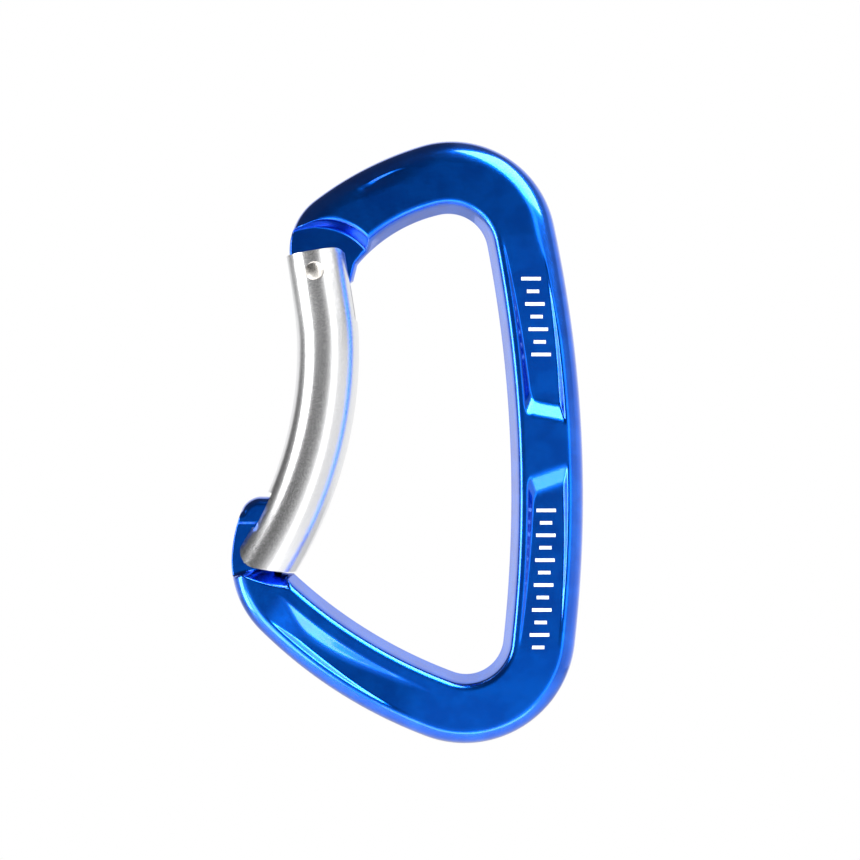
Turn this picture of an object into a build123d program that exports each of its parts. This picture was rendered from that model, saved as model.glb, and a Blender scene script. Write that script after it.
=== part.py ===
from build123d import *
from math import acos, atan2, cos, hypot, radians, sin
import os

# Bent-gate keylock carabiner, in millimetres.
# The carabiner stands upright in the XZ plane and is symmetric about y = 0. The spine is on the
# +X side and the gate on the -X side. The origin is the crown of the small basket, where a sling
# bears, and the rope bears in the large basket at the bottom.

# ---- driving dimensions: outline of the forged frame, as arcs (centre x, centre z, radius) ----
OUTER_UPPER_ARM = (11.7, -42.0, 55.8)
OUTER_SPINE = (-191.5, -46.9, 214.0)
OUTER_LOWER_ARM = (23.6, -13.6, 77.9)
OUTER_NOSE = (-10.7, -58.15, 25.3)
INNER_UPPER_ARM = (4.2, -24.5, 25.1)
INNER_SPINE = (-208.7, -46.8, 219.2)
INNER_LOWER_ARM = (28.4, -1.7, 79.2)

HINGE_CORNER_RADIUS = 10.4
HINGE_CORNER_TILT = 52.4

# corner radii that join those arcs, each with a point near the centre of its arc
TOP_CORNER = (17.5, (0.4, -5.4))
BOTTOM_CORNER = (18.5, (2.7, -69.0))
HEEL_CORNER = (16.0, (-20.2, -57.0))
SLING_BASKET = (6.6, (-0.3, -6.5))
ROPE_BASKET = (6.2, (3.0, -69.9))

HALF_THICKNESS = 5.2
EDGE_RADIUS = 3.0

# ---- hinge: a thin tongue on the frame between the gate's two ears ----
PIVOT = (-21.9, -9.7)
TONGUE_HALF = 1.7
TONGUE_LOW = (1.6, -3.1)
TONGUE_KNEE_Z = -8.4
TONGUE_TIP = (-15.75, -11.1)
TONGUE_CORNER = 0.8
TONGUE_CUT_CENTRE = (-20.7, -11.0)
TONGUE_CUT_FACE_RADIUS = 9.9
TONGUE_CUT_ROOT_RADIUS = 8.85
RIVET_RADIUS = 1.55
RIVET_CLEARANCE = 0.05
RIVET_HALF_LENGTH = 5.25
RIVET_DOME_RADIUS = 3.4

# ---- keylock nose: distances from the pivot, and angles from straight down towards the gate ----
NOSE_TIP_RADIUS = 37.5
NOSE_HEAD_RADIUS = 43.1
NOSE_ROOT_RADIUS = 50.05
NOSE_SHOULDER_RADIUS = 52.2
NOSE_INNER_ANGLE = 7.1
NOSE_TIP_Z = -46.8
NOSE_ROOT_Z = -57.4
NOSE_HEAD_HALF = 2.6
NOSE_NECK_HALF = 1.6
NOSE_TIP_ROUND = 2.2
NOSE_ROOT_ROUND = 3.0
NOSE_CUT_ANGLES = (-8.0, 28.0)
NOSE_CUT_SPARE = 4.0

# ---- gate: a round bar bent away from the spine ----
GATE_RADIUS = 5.15
GATE_WAIST = (-19.92, -22.5)
GATE_UPPER_BEND = 40.0
GATE_LOWER_BEND = 65.0
GATE_UPPER_TILT = 9.0
GATE_LOWER_TILT = 38.0
GATE_TOP_Z = -6.3
GATE_END_RADIUS = 49.7
GATE_HEEL_ROUND = 3.0
GATE_HEEL_ANGLE = 15.0
EAR_INNER_CORNER = 2.2
EAR_OUTER_CORNER = 0.6
HINGE_SLOT_HALF = 1.85
HINGE_SLOT_FLOOR = ((-28.0, -12.2), (-14.0, -18.2))
LATCH_FLOOR_ANGLE = 6.5
LATCH_GAP = 0.15
LATCH_PLAY = 0.3

# ---- spring and plunger, in a blind bore down the gate ----
BORE_X = -20.6
BORE_RADIUS = 2.0
BORE_BOTTOM_Z = -31.0
PLUNGER_RADIUS = 1.92
PLUNGER_TOP_Z = PIVOT[1] + TONGUE_LOW[1] - 0.1
PLUNGER_HEAD_LENGTH = 3.4
PLUNGER_STEM_RADIUS = 1.05
PLUNGER_STEM_LENGTH = 3.6
PLUNGER_DOME = 0.4
SPRING_WIRE_RADIUS = 0.25
SPRING_COIL_RADIUS = 1.6
SPRING_TURNS = 10

# ---- ramped pockets that lighten the frame's faces ----
POCKET_DEPTH = 1.2
POCKET_INNER_MARGIN = 2.5
POCKET_OUTER_MARGIN = 2.9
UPPER_SPINE_POCKET = ((10.0, -31.6), (22.0, -34.8), -5.0)
LOWER_SPINE_POCKET = ((10.0, -46.6), (22.0, -40.8), -72.0)
ARM_POCKET_WIDTH = 5.0
POCKET_RUN_IN = 4.0
UPPER_ARM_POCKET = ((-17.0, 2.0), (-4.0, 9.0))
LOWER_ARM_POCKET = ((-30.0, -66.5), (-3.0, -84.0))

# how far cutting shapes reach past the part, and past a face that they only have to break
FAR = 12.0
OVER = 1.0


def blend_centre(first, second, corner):
    """Centre of a corner arc that touches two larger arcs from inside."""
    radius, near = corner
    ax, az, ar = first
    bx, bz, br = second
    ar = ar - radius
    br = br - radius
    gap = hypot(bx - ax, bz - az)
    turn = acos((ar * ar + gap * gap - br * br) / (2 * ar * gap))
    base = atan2(bz - az, bx - ax)
    choices = [(ax + ar * cos(base + s * turn), az + ar * sin(base + s * turn)) for s in (-1, 1)]
    return min(choices, key=lambda p: hypot(p[0] - near[0], p[1] - near[1]))


def touch_point(big, centre):
    """Point where a corner arc centred at centre touches the larger arc."""
    bx, bz, br = big
    reach = hypot(centre[0] - bx, centre[1] - bz)
    return (bx + br * (centre[0] - bx) / reach, bz + br * (centre[1] - bz) / reach)


def arc(centre, start, end):
    """The shorter arc about centre from start to end."""
    radius = hypot(start[0] - centre[0], start[1] - centre[1])
    half_x = (start[0] + end[0]) / 2 - centre[0]
    half_z = (start[1] + end[1]) / 2 - centre[1]
    grow = radius / hypot(half_x, half_z)
    middle = (centre[0] + half_x * grow, centre[1] + half_z * grow)
    return ThreePointArc(start, middle, end)


def arc_x(circle, z, side):
    """Where an arc crosses the level z, on its left (-1) or right (+1) side."""
    cx, cz, r = circle
    return cx + side * (r * r - (z - cz) ** 2) ** 0.5


def polar(radius, angle):
    """A point at a distance from the pivot, angle measured from straight down towards the gate."""
    return (PIVOT[0] - radius * sin(radians(angle)), PIVOT[1] - radius * cos(radians(angle)))


def upright(flat):
    """Stand a shape drawn in (x, z) up in the carabiner's plane."""
    return Plane.XZ * flat


def slab(flat, half):
    """A plate with the drawn outline, half thick on each side of the middle plane."""
    return extrude(upright(flat), amount=half, both=True)


def ring(profile, centre, start_angle, end_angle):
    """Revolve a profile of (radius, y) points about an axis along Y through centre."""
    turn = radians(start_angle)
    points = [Vector(centre[0] - r * sin(turn), y, centre[1] - r * cos(turn)) for r, y in profile]
    face = make_face(Polyline(*points, close=True))
    axis = Axis((centre[0], 0, centre[1]), (0, 1, 0))
    return revolve(face, axis=axis, revolution_arc=end_angle - start_angle)


def both_faces(shape):
    """The shape and its mirror image on the other face."""
    return [shape, mirror(shape, about=Plane.XZ)]


def cross_rod(radius, half_length, x, z):
    """A rod along Y, centred on the middle plane."""
    return Pos(x, 0, z) * Rot(90, 0, 0) * Cylinder(radius, 2 * half_length)


def frame_outline():
    """The frame's outline from the hinge round the spine to the nose, with sharp and round ends."""
    arm_x, arm_z, arm_r = OUTER_UPPER_ARM
    reach = arm_r - HINGE_CORNER_RADIUS
    tilt = radians(180 - HINGE_CORNER_TILT)
    hinge = (arm_x + reach * cos(tilt), arm_z + reach * sin(tilt))
    top = blend_centre(OUTER_UPPER_ARM, OUTER_SPINE, TOP_CORNER)
    bottom = blend_centre(OUTER_SPINE, OUTER_LOWER_ARM, BOTTOM_CORNER)
    heel = blend_centre(OUTER_LOWER_ARM, OUTER_NOSE, HEEL_CORNER)
    sling = blend_centre(INNER_UPPER_ARM, INNER_SPINE, SLING_BASKET)
    rope = blend_centre(INNER_SPINE, INNER_LOWER_ARM, ROPE_BASKET)
    hinge_circle = (hinge[0], hinge[1], HINGE_CORNER_RADIUS)
    tongue_left = (arc_x(hinge_circle, PIVOT[1], -1), PIVOT[1])
    tongue_low = (PIVOT[0] + TONGUE_LOW[0], PIVOT[1] + TONGUE_LOW[1])
    tongue_knee = (arc_x(INNER_UPPER_ARM, TONGUE_KNEE_Z, -1), TONGUE_KNEE_Z)
    nose_out = (arc_x(OUTER_NOSE, NOSE_TIP_Z, -1), NOSE_TIP_Z)
    nose_in = polar(NOSE_TIP_RADIUS, NOSE_INNER_ANGLE)
    nose_root = (arc_x(INNER_LOWER_ARM, NOSE_ROOT_Z, -1), NOSE_ROOT_Z)
    steps = [
        (hinge, touch_point(OUTER_UPPER_ARM, hinge)),
        (OUTER_UPPER_ARM, touch_point(OUTER_UPPER_ARM, top)),
        (top, touch_point(OUTER_SPINE, top)),
        (OUTER_SPINE, touch_point(OUTER_SPINE, bottom)),
        (bottom, touch_point(OUTER_LOWER_ARM, bottom)),
        (OUTER_LOWER_ARM, touch_point(OUTER_LOWER_ARM, heel)),
        (heel, touch_point(OUTER_NOSE, heel)),
        (OUTER_NOSE, nose_out),
        (None, nose_in),
        (None, nose_root),
        (INNER_LOWER_ARM, touch_point(INNER_LOWER_ARM, rope)),
        (rope, touch_point(INNER_SPINE, rope)),
        (INNER_SPINE, touch_point(INNER_SPINE, sling)),
        (sling, touch_point(INNER_UPPER_ARM, sling)),
        (INNER_UPPER_ARM, tongue_knee),
        (None, TONGUE_TIP),
    ]
    edges = []
    start = tongue_left
    for centre, end in steps:
        edges.append(Line(start, end) if centre is None else arc(centre, start, end))
        start = end
    edges.append(ThreePointArc(start, tongue_low, tongue_left))
    sharp = round_corner(make_face(edges), nose_root, NOSE_ROOT_ROUND)
    outline = round_corner(sharp, nose_out, NOSE_TIP_ROUND)
    outline = round_corner(outline, nose_in, NOSE_TIP_ROUND)
    outline = round_corner(outline, tongue_left, TONGUE_CORNER)
    return sharp, round_corner(outline, TONGUE_TIP, TONGUE_CORNER)


def round_corner(outline, point, radius):
    """Round the outline's corner nearest to point."""
    corner = min(outline.vertices(), key=lambda v: hypot(v.X - point[0], v.Y - point[1]))
    return fillet(corner, radius)


def frame_blank():
    """The frame at full thickness with rounded edges, before the hinge and nose are milled."""
    sharp, rounded = frame_outline()
    blank = slab(sharp, HALF_THICKNESS)
    faces = blank.faces().sort_by(Axis.Y)
    rims = faces[0].edges() + faces[-1].edges()
    return fillet(rims, EDGE_RADIUS) & slab(rounded, FAR)


def tongue_cuts():
    """Material milled from each face to leave the hinge tongue."""
    deep = HALF_THICKNESS + OVER
    slope = (TONGUE_CUT_FACE_RADIUS - TONGUE_CUT_ROOT_RADIUS) / (HALF_THICKNESS - TONGUE_HALF)
    wide = TONGUE_CUT_FACE_RADIUS + slope * OVER
    profile = [(0, -TONGUE_HALF), (TONGUE_CUT_ROOT_RADIUS, -TONGUE_HALF), (wide, -deep), (0, -deep)]
    return both_faces(ring(profile, TONGUE_CUT_CENTRE, 0, 360))


def nose_cuts():
    """Material milled from each face to leave the nose's neck under its wider head."""
    deep = HALF_THICKNESS + OVER
    start = NOSE_TIP_RADIUS - NOSE_CUT_SPARE
    slope = (NOSE_SHOULDER_RADIUS - NOSE_ROOT_RADIUS) / (HALF_THICKNESS - NOSE_NECK_HALF)
    profile = [
        (start, -NOSE_HEAD_HALF),
        (NOSE_HEAD_RADIUS, -NOSE_HEAD_HALF),
        (NOSE_HEAD_RADIUS, -NOSE_NECK_HALF),
        (NOSE_ROOT_RADIUS, -NOSE_NECK_HALF),
        (NOSE_SHOULDER_RADIUS + slope * OVER, -deep),
        (start, -deep),
    ]
    return both_faces(ring(profile, PIVOT, *NOSE_CUT_ANGLES))


def nose_inner_cut():
    """Clears the gate's end out of the corner between the nose and the lower arm."""
    start = NOSE_TIP_RADIUS - NOSE_CUT_SPARE
    profile = [
        (start, -HALF_THICKNESS - OVER),
        (NOSE_ROOT_RADIUS, -HALF_THICKNESS - OVER),
        (NOSE_ROOT_RADIUS, HALF_THICKNESS + OVER),
        (start, HALF_THICKNESS + OVER),
    ]
    return ring(profile, PIVOT, NOSE_CUT_ANGLES[0], NOSE_INNER_ANGLE)


def ramp(deep, shallow, depth):
    """Everything in front of a floor that rises from depth at deep to the face at shallow."""
    run = hypot(shallow[0] - deep[0], shallow[1] - deep[1])
    along = ((shallow[0] - deep[0]) / run, (shallow[1] - deep[1]) / run)
    face_y = -HALF_THICKNESS
    top_y = -HALF_THICKNESS - OVER
    far = run * (depth + OVER) / depth
    back = (deep[0] - POCKET_RUN_IN * along[0], deep[1] - POCKET_RUN_IN * along[1])
    corners = [
        Vector(back[0], top_y, back[1]),
        Vector(back[0], face_y + depth, back[1]),
        Vector(deep[0], face_y + depth, deep[1]),
        Vector(deep[0] + far * along[0], top_y, deep[1] + far * along[1]),
    ]
    side = make_face(Polyline(*corners, close=True))
    return extrude(side, amount=FAR, both=True)


def band(inner, outer, inner_margin, outer_margin, start, end):
    """Plate between two of the frame's arcs, held off each by a margin, cut by lines at its ends."""
    inner_disc = Pos(inner[0], inner[1]) * Circle(inner[2] + inner_margin)
    outer_disc = Pos(outer[0], outer[1]) * Circle(outer[2] - outer_margin)
    window = make_face(Polyline(start[0], start[1], end[1], end[0], close=True))
    return slab(outer_disc & window - inner_disc, FAR)


def pockets():
    """The four ramped pockets on the front face."""
    low_line = UPPER_SPINE_POCKET[:2]
    high_line = LOWER_SPINE_POCKET[:2]
    spine = (INNER_SPINE, OUTER_SPINE, POCKET_INNER_MARGIN, POCKET_OUTER_MARGIN)
    above = ((low_line[0][0], UPPER_SPINE_POCKET[2]), (low_line[1][0], UPPER_SPINE_POCKET[2]))
    below = ((high_line[0][0], LOWER_SPINE_POCKET[2]), (high_line[1][0], LOWER_SPINE_POCKET[2]))
    middle_x = (low_line[0][0] + low_line[1][0]) / 2
    upper = band(*spine, low_line, above)
    upper = upper & ramp((middle_x, low_line[0][1]), (middle_x, UPPER_SPINE_POCKET[2]), POCKET_DEPTH)
    lower = band(*spine, high_line, below)
    lower = lower & ramp((middle_x, high_line[1][1]), (middle_x, LOWER_SPINE_POCKET[2]), POCKET_DEPTH)
    arms = []
    for outer, spots in ((OUTER_UPPER_ARM, UPPER_ARM_POCKET), (OUTER_LOWER_ARM, LOWER_ARM_POCKET)):
        deep, shallow = spots
        pocket_inner = (outer[0], outer[1], outer[2] - POCKET_OUTER_MARGIN - ARM_POCKET_WIDTH)
        spokes = []
        for spot in spots:
            reach = hypot(spot[0] - outer[0], spot[1] - outer[1])
            way = ((spot[0] - outer[0]) / reach, (spot[1] - outer[1]) / reach)
            spokes.append([(outer[0] + r * way[0], outer[1] + r * way[1])
                           for r in (pocket_inner[2] - FAR, outer[2] + FAR)])
        plate = band(pocket_inner, outer, 0, POCKET_OUTER_MARGIN, *spokes)
        arms.append(plate & ramp(deep, shallow, POCKET_DEPTH / 2))
    return [upper, lower] + arms


def make_body():
    """The forged frame with its tongue, nose and pockets."""
    body = frame_blank()
    for cut in tongue_cuts() + nose_cuts() + [nose_inner_cut()]:
        body = body - cut
    for pocket in pockets():
        for cut in both_faces(pocket):
            body = body - cut
    return body - cross_rod(RIVET_RADIUS + RIVET_CLEARANCE, FAR, *PIVOT)


def gate_bar():
    """The gate's round bar along its bent centre line, longer than needed at its end."""
    waist_x, waist_z = GATE_WAIST
    upper = (waist_x - GATE_UPPER_BEND, waist_z)
    lower = (waist_x - GATE_LOWER_BEND, waist_z)
    tilt = radians(GATE_UPPER_TILT)
    knee = (upper[0] + GATE_UPPER_BEND * cos(tilt), upper[1] + GATE_UPPER_BEND * sin(tilt))
    rise = GATE_TOP_Z - knee[1]
    top = (knee[0] - rise * sin(tilt) / cos(tilt), GATE_TOP_Z)
    drop = radians(-GATE_LOWER_TILT)
    foot = (lower[0] + GATE_LOWER_BEND * cos(drop), lower[1] + GATE_LOWER_BEND * sin(drop))
    path = upright(Wire([
        Line(top, knee).edge(),
        arc(upper, knee, GATE_WAIST).edge(),
        arc(lower, GATE_WAIST, foot).edge(),
    ]))
    section = Plane(origin=path @ 0, z_dir=path % 0) * Circle(GATE_RADIUS)
    return sweep(section, path=path)


def gate_reach():
    """Everything near enough to the pivot to clear the frame, with the gate's heel rounded off."""
    bend = (GATE_WAIST[0] - GATE_LOWER_BEND, GATE_WAIST[1])
    disc = Pos(*PIVOT) * Circle(GATE_END_RADIUS)
    outline = disc - Pos(*bend) * Circle(GATE_LOWER_BEND - GATE_RADIUS)
    heel = polar(GATE_END_RADIUS, GATE_HEEL_ANGLE)
    return slab(round_corner(outline, heel, GATE_HEEL_ROUND), FAR)


def ear_corner_cut(side, radius):
    """Rounds the top of the ears on one side: +1 towards the spine, -1 away from it."""
    tilt = radians(GATE_UPPER_TILT)
    down = (sin(tilt), -cos(tilt))
    across = (side * cos(tilt), side * sin(tilt))
    top_x = GATE_WAIST[0] - GATE_UPPER_BEND * (1 - cos(tilt))
    top_x = top_x - (GATE_TOP_Z - GATE_WAIST[1] - GATE_UPPER_BEND * sin(tilt)) * sin(tilt) / cos(tilt)
    corner = (top_x + GATE_RADIUS * across[0], GATE_TOP_Z + GATE_RADIUS * across[1])
    along_down = (corner[0] + radius * down[0], corner[1] + radius * down[1])
    along_top = (corner[0] - radius * across[0], corner[1] - radius * across[1])
    centre = (along_down[0] - radius * across[0], along_down[1] - radius * across[1])
    beyond = (corner[0] + across[0] - down[0], corner[1] + across[1] - down[1])
    out_down = (along_down[0] + across[0], along_down[1] + across[1])
    out_top = (along_top[0] - down[0], along_top[1] - down[1])
    edges = [
        arc(centre, along_down, along_top),
        Line(along_top, out_top),
        Line(out_top, beyond),
        Line(beyond, out_down),
        Line(out_down, along_down),
    ]
    return slab(make_face(edges), FAR)


def hinge_slot():
    """Slot between the ears for the frame's tongue."""
    left, right = HINGE_SLOT_FLOOR
    outline = Polyline(left, right, (right[0], FAR), (left[0], FAR), close=True)
    return slab(make_face(outline), HINGE_SLOT_HALF)


def latch_slot():
    """T-shaped slot in the gate's end that takes the nose, open away from the spine."""
    head_half = NOSE_HEAD_HALF + LATCH_GAP
    neck_half = NOSE_NECK_HALF + LATCH_GAP
    top = NOSE_TIP_RADIUS - LATCH_PLAY
    step = NOSE_HEAD_RADIUS + LATCH_PLAY
    profile = [
        (top, -head_half),
        (step, -head_half),
        (step, -neck_half),
        (GATE_END_RADIUS + OVER, -neck_half),
        (GATE_END_RADIUS + OVER, neck_half),
        (step, neck_half),
        (step, head_half),
        (top, head_half),
    ]
    return ring(profile, PIVOT, LATCH_FLOOR_ANGLE, NOSE_CUT_ANGLES[1])


def make_gate():
    """The bent gate with its ears, latch slot and spring bore."""
    gate = gate_bar() & gate_reach()
    gate = gate - ear_corner_cut(1, EAR_INNER_CORNER) - ear_corner_cut(-1, EAR_OUTER_CORNER)
    gate = gate - hinge_slot() - latch_slot()
    bore_length = PIVOT[1] - BORE_BOTTOM_Z
    bore = Pos(BORE_X, 0, BORE_BOTTOM_Z + bore_length / 2) * Cylinder(BORE_RADIUS, bore_length)
    return gate - bore - cross_rod(RIVET_RADIUS, FAR, *PIVOT)


def make_rivet():
    """The hinge rivet, with a low dome at each end."""
    rivet = cross_rod(RIVET_RADIUS, RIVET_HALF_LENGTH, *PIVOT)
    for side in (-1, 1):
        dome_y = side * (RIVET_HALF_LENGTH - RIVET_DOME_RADIUS)
        dome = Pos(PIVOT[0], dome_y, PIVOT[1]) * Sphere(RIVET_DOME_RADIUS)
        shank = cross_rod(RIVET_RADIUS, RIVET_HALF_LENGTH / 2, *PIVOT)
        rivet = rivet & (dome + Pos(0, -side * RIVET_HALF_LENGTH / 2, 0) * shank)
    return rivet


def make_plunger():
    """The plunger that the spring presses up against the frame's tongue."""
    head_z = PLUNGER_TOP_Z - PLUNGER_HEAD_LENGTH / 2
    stem_z = PLUNGER_TOP_Z - PLUNGER_HEAD_LENGTH - PLUNGER_STEM_LENGTH / 2
    head = Pos(BORE_X, 0, head_z) * Cylinder(PLUNGER_RADIUS, PLUNGER_HEAD_LENGTH)
    head = fillet(head.edges().sort_by(Axis.Z)[-1], PLUNGER_DOME)
    return head + Pos(BORE_X, 0, stem_z) * Cylinder(PLUNGER_STEM_RADIUS, PLUNGER_STEM_LENGTH)


def make_spring():
    """The compression spring between the bore's floor and the plunger's head."""
    top_z = PLUNGER_TOP_Z - PLUNGER_HEAD_LENGTH - SPRING_WIRE_RADIUS
    bottom_z = BORE_BOTTOM_Z + SPRING_WIRE_RADIUS
    height = top_z - bottom_z
    coil = Helix(pitch=height / SPRING_TURNS, height=height, radius=SPRING_COIL_RADIUS)
    wire = Plane(origin=coil @ 0, z_dir=coil % 0) * Circle(SPRING_WIRE_RADIUS)
    return Pos(BORE_X, 0, bottom_z) * sweep(wire, path=coil, is_frenet=True)


os.makedirs("parts", exist_ok=True)
export_step(make_body(), "parts/body.step")
export_step(make_gate(), "parts/gate.step")
export_step(make_rivet(), "parts/hinge_rivet.step")
export_step(make_plunger(), "parts/spring_plunger.step")
export_step(make_spring(), "parts/return_spring.step")
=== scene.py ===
import math

import bmesh
import bpy
import numpy as np
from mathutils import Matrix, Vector


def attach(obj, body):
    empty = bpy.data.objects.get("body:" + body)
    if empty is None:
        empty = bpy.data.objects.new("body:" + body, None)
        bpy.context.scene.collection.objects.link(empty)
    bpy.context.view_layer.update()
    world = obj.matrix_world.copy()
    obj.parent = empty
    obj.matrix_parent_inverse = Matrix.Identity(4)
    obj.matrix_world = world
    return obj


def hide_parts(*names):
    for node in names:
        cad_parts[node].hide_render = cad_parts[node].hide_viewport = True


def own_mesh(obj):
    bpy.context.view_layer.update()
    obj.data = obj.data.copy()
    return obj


# A bent-gate carabiner, upright in the XZ plane and seen from the front (-Y). Shapes are worked out
# in millimetres, as in the CAD part, and turned into metres when a mesh is made.

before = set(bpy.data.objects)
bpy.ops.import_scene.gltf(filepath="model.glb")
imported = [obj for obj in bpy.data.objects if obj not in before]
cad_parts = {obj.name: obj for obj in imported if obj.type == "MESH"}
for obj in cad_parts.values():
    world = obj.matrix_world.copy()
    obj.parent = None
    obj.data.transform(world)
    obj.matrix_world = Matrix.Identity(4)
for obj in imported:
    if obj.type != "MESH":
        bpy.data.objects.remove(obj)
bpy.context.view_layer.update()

MM = 0.001

# ---- the forged frame's outline, as arcs (centre x, centre z, radius) ----
OUTER_UPPER_ARM = (11.7, -42.0, 55.8)
OUTER_SPINE = (-191.5, -46.9, 214.0)
OUTER_LOWER_ARM = (23.6, -13.6, 77.9)
OUTER_NOSE = (-10.7, -58.15, 25.3)
INNER_UPPER_ARM = (4.2, -24.5, 25.1)
INNER_SPINE = (-208.7, -46.8, 219.2)
INNER_LOWER_ARM = (28.4, -1.7, 79.2)
HINGE_CORNER_RADIUS = 10.4
HINGE_CORNER_TILT = 52.4

# corner radii that join those arcs, each with a point near the centre of its arc
TOP_CORNER = (17.5, (0.4, -5.4))
BOTTOM_CORNER = (18.5, (2.7, -69.0))
HEEL_CORNER = (16.0, (-20.2, -57.0))
SLING_BASKET = (6.6, (-0.3, -6.5))
ROPE_BASKET = (6.2, (3.0, -69.9))

# ---- section of the frame: a drafted wall, a rounded shoulder and a flat face on each side ----
HALF_THICKNESS = 5.2
INNER_DRAFT = 14.0
INNER_SHOULDER = 1.25
OUTER_DRAFT = 5.0
OUTER_SHOULDER = 3.2
OUTER_STRETCH = (0.9, 0.4)
OUTER_STRETCH_Z = (-22.0, -6.0)
PARTING_ROUND = 0.3
EDGE_REACH = 4.2
ABOVE_ALL = HALF_THICKNESS + 4

# ---- how far each crease is rounded, and the milled rims ----
FORGED_BLEND = 0.05
FACE_BLEND = 0.12
STEP_BLEND = 0.8
NOSE_BLEND = 0.35
TONGUE_RIM = 0.35
NECK_RIM = 0.9
HEAD_RIM = 1.3

# ---- hinge tongue: pivot, tip, lowest point from the pivot, and (centre x, centre z, radius) of the
# milled step at the tongue and at the face ----
PIVOT = (-21.9, -9.7)
TONGUE_HALF = 1.7
TONGUE_KNEE_Z = -8.4
TONGUE_TIP = (-15.75, -11.1)
TONGUE_LOW = (1.6, -3.1)
STEP_ROOT = (-21.76, -12.67, 10.40)
STEP_FACE = (-19.81, -10.39, 9.11)

# ---- keylock nose: distances from the pivot, levels, half thicknesses, and the two arcs that bound
# the lens-shaped facet below the neck ----
NOSE_TIP_RADIUS = 37.5
NOSE_ROOT_RADIUS = 50.05
FACET_TOP = (-30.86, -69.37, 10.49)
FACET_LOW = (-23.90, -38.85, 22.94)
FACET_LEAST = 0.3
FACET_RIGHT = (-26.9, -26.2)
NECK_LOW_Z = -59.0
NOSE_INNER_ANGLE = 7.1
NOSE_TIP_Z = -46.8
NOSE_HEAD_HALF = 2.6
NOSE_NECK_HALF = 1.6
NOSE_TIP_ROUND = 2.2
HEAD_STEP_Z = -51.15
HEAD_STEP_HALF = 0.15
NOSE_REACH = 58
NOSE_ANGLES = (-8, 32)

# ---- pockets in the spine: margins to the frame's edges, depth, and the line of the steep end ----
POCKET_DEPTH = 1.2
POCKET_INNER_MARGIN = 2.45
POCKET_OUTER_MARGIN = 2.9
UPPER_POCKET_END = ((14.05, -33.6), (18.55, -34.5))
UPPER_POCKET_TOP_Z = -4.0
UPPER_POCKET_FULL_Z = -30.0
LOWER_POCKET_END = ((14.3, -43.1), (18.8, -41.5))
LOWER_POCKET_LOW_Z = -72.0
LOWER_POCKET_FULL_Z = -46.0
UPPER_POCKET_SLOPES = (1.05, 0.45)
LOWER_POCKET_SLOPES = (1.2, 0.4)
POCKET_OUTER_SLOPE = 1.9
POCKET_CORNER_BLEND = 0.9
POCKET_BLEND = 0.1
SPINE_LEFT_X = 5

# ---- scoop in the upper arm, and the longer one in the lower arm ----
ARM_SCOOP = (-3.11, -10.66, 18.45)
ARM_SCOOP_EDGE = ((-16.72, 1.67), (-7.3, 5.1))
ARM_SCOOP_WAY = (0.80, 0.60)
ARM_SCOOP_FADE = (3.5, 14.5)
ARM_SCOOP_WALL = 1.3
LOW_SCOOP_START = (-30.3, -66.5)
LOW_SCOOP_WAY = (0.84, -0.54)
LOW_SCOOP_MARGINS = (2.75, 3.6)
LOW_SCOOP_WALL = 1.2
LOW_SCOOP_DEPTH = 0.95
SCOOP_SIDE_SLOPE = 0.42

# ---- how many stations follow each stretch of the frame ----
TONGUE_STATIONS = (16, 25)
STEP_STATIONS = 14
ARM_START_STATIONS = 10
ARM_STATIONS = 56
CORNER_STATIONS = 56
SPINE_STATIONS = 190
LOWER_ARM_STATIONS = 84
HEEL_STATIONS = 60
NOSE_STATIONS = (0, 26, 34, 46)
TIP_STATIONS = 14

# ---- closing spring in the gate's bore ----
SPRING_X = -20.6
SPRING_COIL = 1.6
SPRING_WIRE = 0.25
SPRING_TURNS = 10
SPRING_SPAN = (-30.75, -16.6)

# ---- small finishes: the gate's broken rims, and the painted bars in the spine's pockets ----
GATE_RIM = 0.25
MARK_WIDTH = 0.55
MARK_LENGTHS = (3.2, 2.0)
MARK_HEIGHT = 0.03


# ---------------------------------------------------------------- plane geometry of the outline

def blend_centre(first, second, corner):
    """Centre of a corner arc that touches two larger arcs from inside."""
    radius, near = corner
    return meet((*first[:2], first[2] - radius), (*second[:2], second[2] - radius), near)


def touch_point(big, centre):
    """Point where a corner arc centred at centre touches the larger arc."""
    bx, bz, br = big
    reach = math.hypot(centre[0] - bx, centre[1] - bz)
    return (bx + br * (centre[0] - bx) / reach, bz + br * (centre[1] - bz) / reach)


def left_at(circle, z):
    """The point on an arc's left side at the level z."""
    cx, cz, r = circle
    return (cx - math.sqrt(r * r - (z - cz) ** 2), z)


def polar(radius, angle):
    """A point at a distance from the pivot, angle in degrees from straight down towards the gate."""
    turn = math.radians(angle)
    return (PIVOT[0] - radius * math.sin(turn), PIVOT[1] - radius * math.cos(turn))


def meet(first, second, near):
    """The crossing of two circles that is nearest to a point."""
    ax, az, ar = first
    bx, bz, br = second
    gap = math.hypot(bx - ax, bz - az)
    turn = math.acos((ar * ar + gap * gap - br * br) / (2 * ar * gap))
    base = math.atan2(bz - az, bx - ax)
    choices = [(ax + ar * math.cos(base + s * turn), az + ar * math.sin(base + s * turn)) for s in (-1, 1)]
    return min(choices, key=lambda p: math.hypot(p[0] - near[0], p[1] - near[1]))


def along_arc(centre, start, end, count):
    """count points on the shorter arc about centre from start to end, both ends included."""
    first = math.atan2(start[1] - centre[1], start[0] - centre[0])
    last = math.atan2(end[1] - centre[1], end[0] - centre[0])
    sweep = (last - first + math.pi) % (2 * math.pi) - math.pi
    radius = math.hypot(start[0] - centre[0], start[1] - centre[1])
    turn = first + sweep * np.linspace(0, 1, count)
    return np.stack([centre[0] + radius * np.cos(turn), centre[1] + radius * np.sin(turn)], 1)


def along_line(start, end, count):
    """count points on the straight line from start to end, both ends included."""
    share = np.linspace(0, 1, count)[:, None]
    return np.array(start) * (1 - share) + np.array(end) * share


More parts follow.
